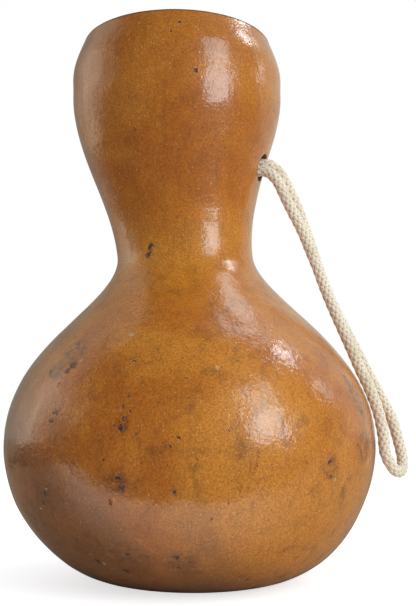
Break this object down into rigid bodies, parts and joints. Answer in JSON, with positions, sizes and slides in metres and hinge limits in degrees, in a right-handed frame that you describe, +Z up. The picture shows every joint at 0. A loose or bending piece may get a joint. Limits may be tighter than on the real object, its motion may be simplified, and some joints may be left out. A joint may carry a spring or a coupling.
{
  "type": "gourd drum",
  "caption": "Hollow dried bottle-gourd percussion body, open at its sawn mouth, with a doubled braided wrist cord knotted inside the neck.",
  "frame": {"origin": "centre of the gourd's bounding box in plan, on the plane of the flat patch that it stands on", "axes": "+Z up along the belly's axis, towards the open mouth; +X towards the side that the cord comes out of; the cord's front strand is on the -Y side"},
  "size_m": [0.2168, 0.198, 0.295],
  "materials": {
    "gourd_skin": "clear-coated, glossy golden-brown dried gourd skin with dark scars and speckles",
    "gourd_inside": "bare, matt, pale fibrous dried pith, with the sawn wall showing at the rim",
    "cotton_cord": "natural undyed cotton, diamond braided, matt"
  },
  "bodies": {
    "gourd": {"gourd_shell": "gourd_skin"},
    "cord_in_hole": {"cord_strand_front": "cotton_cord", "cord_strand_rear": "cotton_cord", "cord_knot": "cotton_cord", "cord_tail_front": "cotton_cord", "cord_tail_rear": "cotton_cord"},
    "wrist_loop": {"cord_loop": "cotton_cord"}
  },
  "joints": [
    {"name": "loop_swivel", "type": "hinge", "parent": "gourd", "child": "cord_in_hole", "pos_m": [0.03993, -0.01185, 0.222], "axis": [0.9703, -0.2419, 0], "range_deg": [-60, 60]},
    {"name": "loop_lift", "type": "hinge", "parent": "cord_in_hole", "child": "wrist_loop", "pos_m": [0.04429, -0.01294, 0.2278], "axis": [-0.2419, -0.9703, 0], "range_deg": [0, 130]}
  ]
}
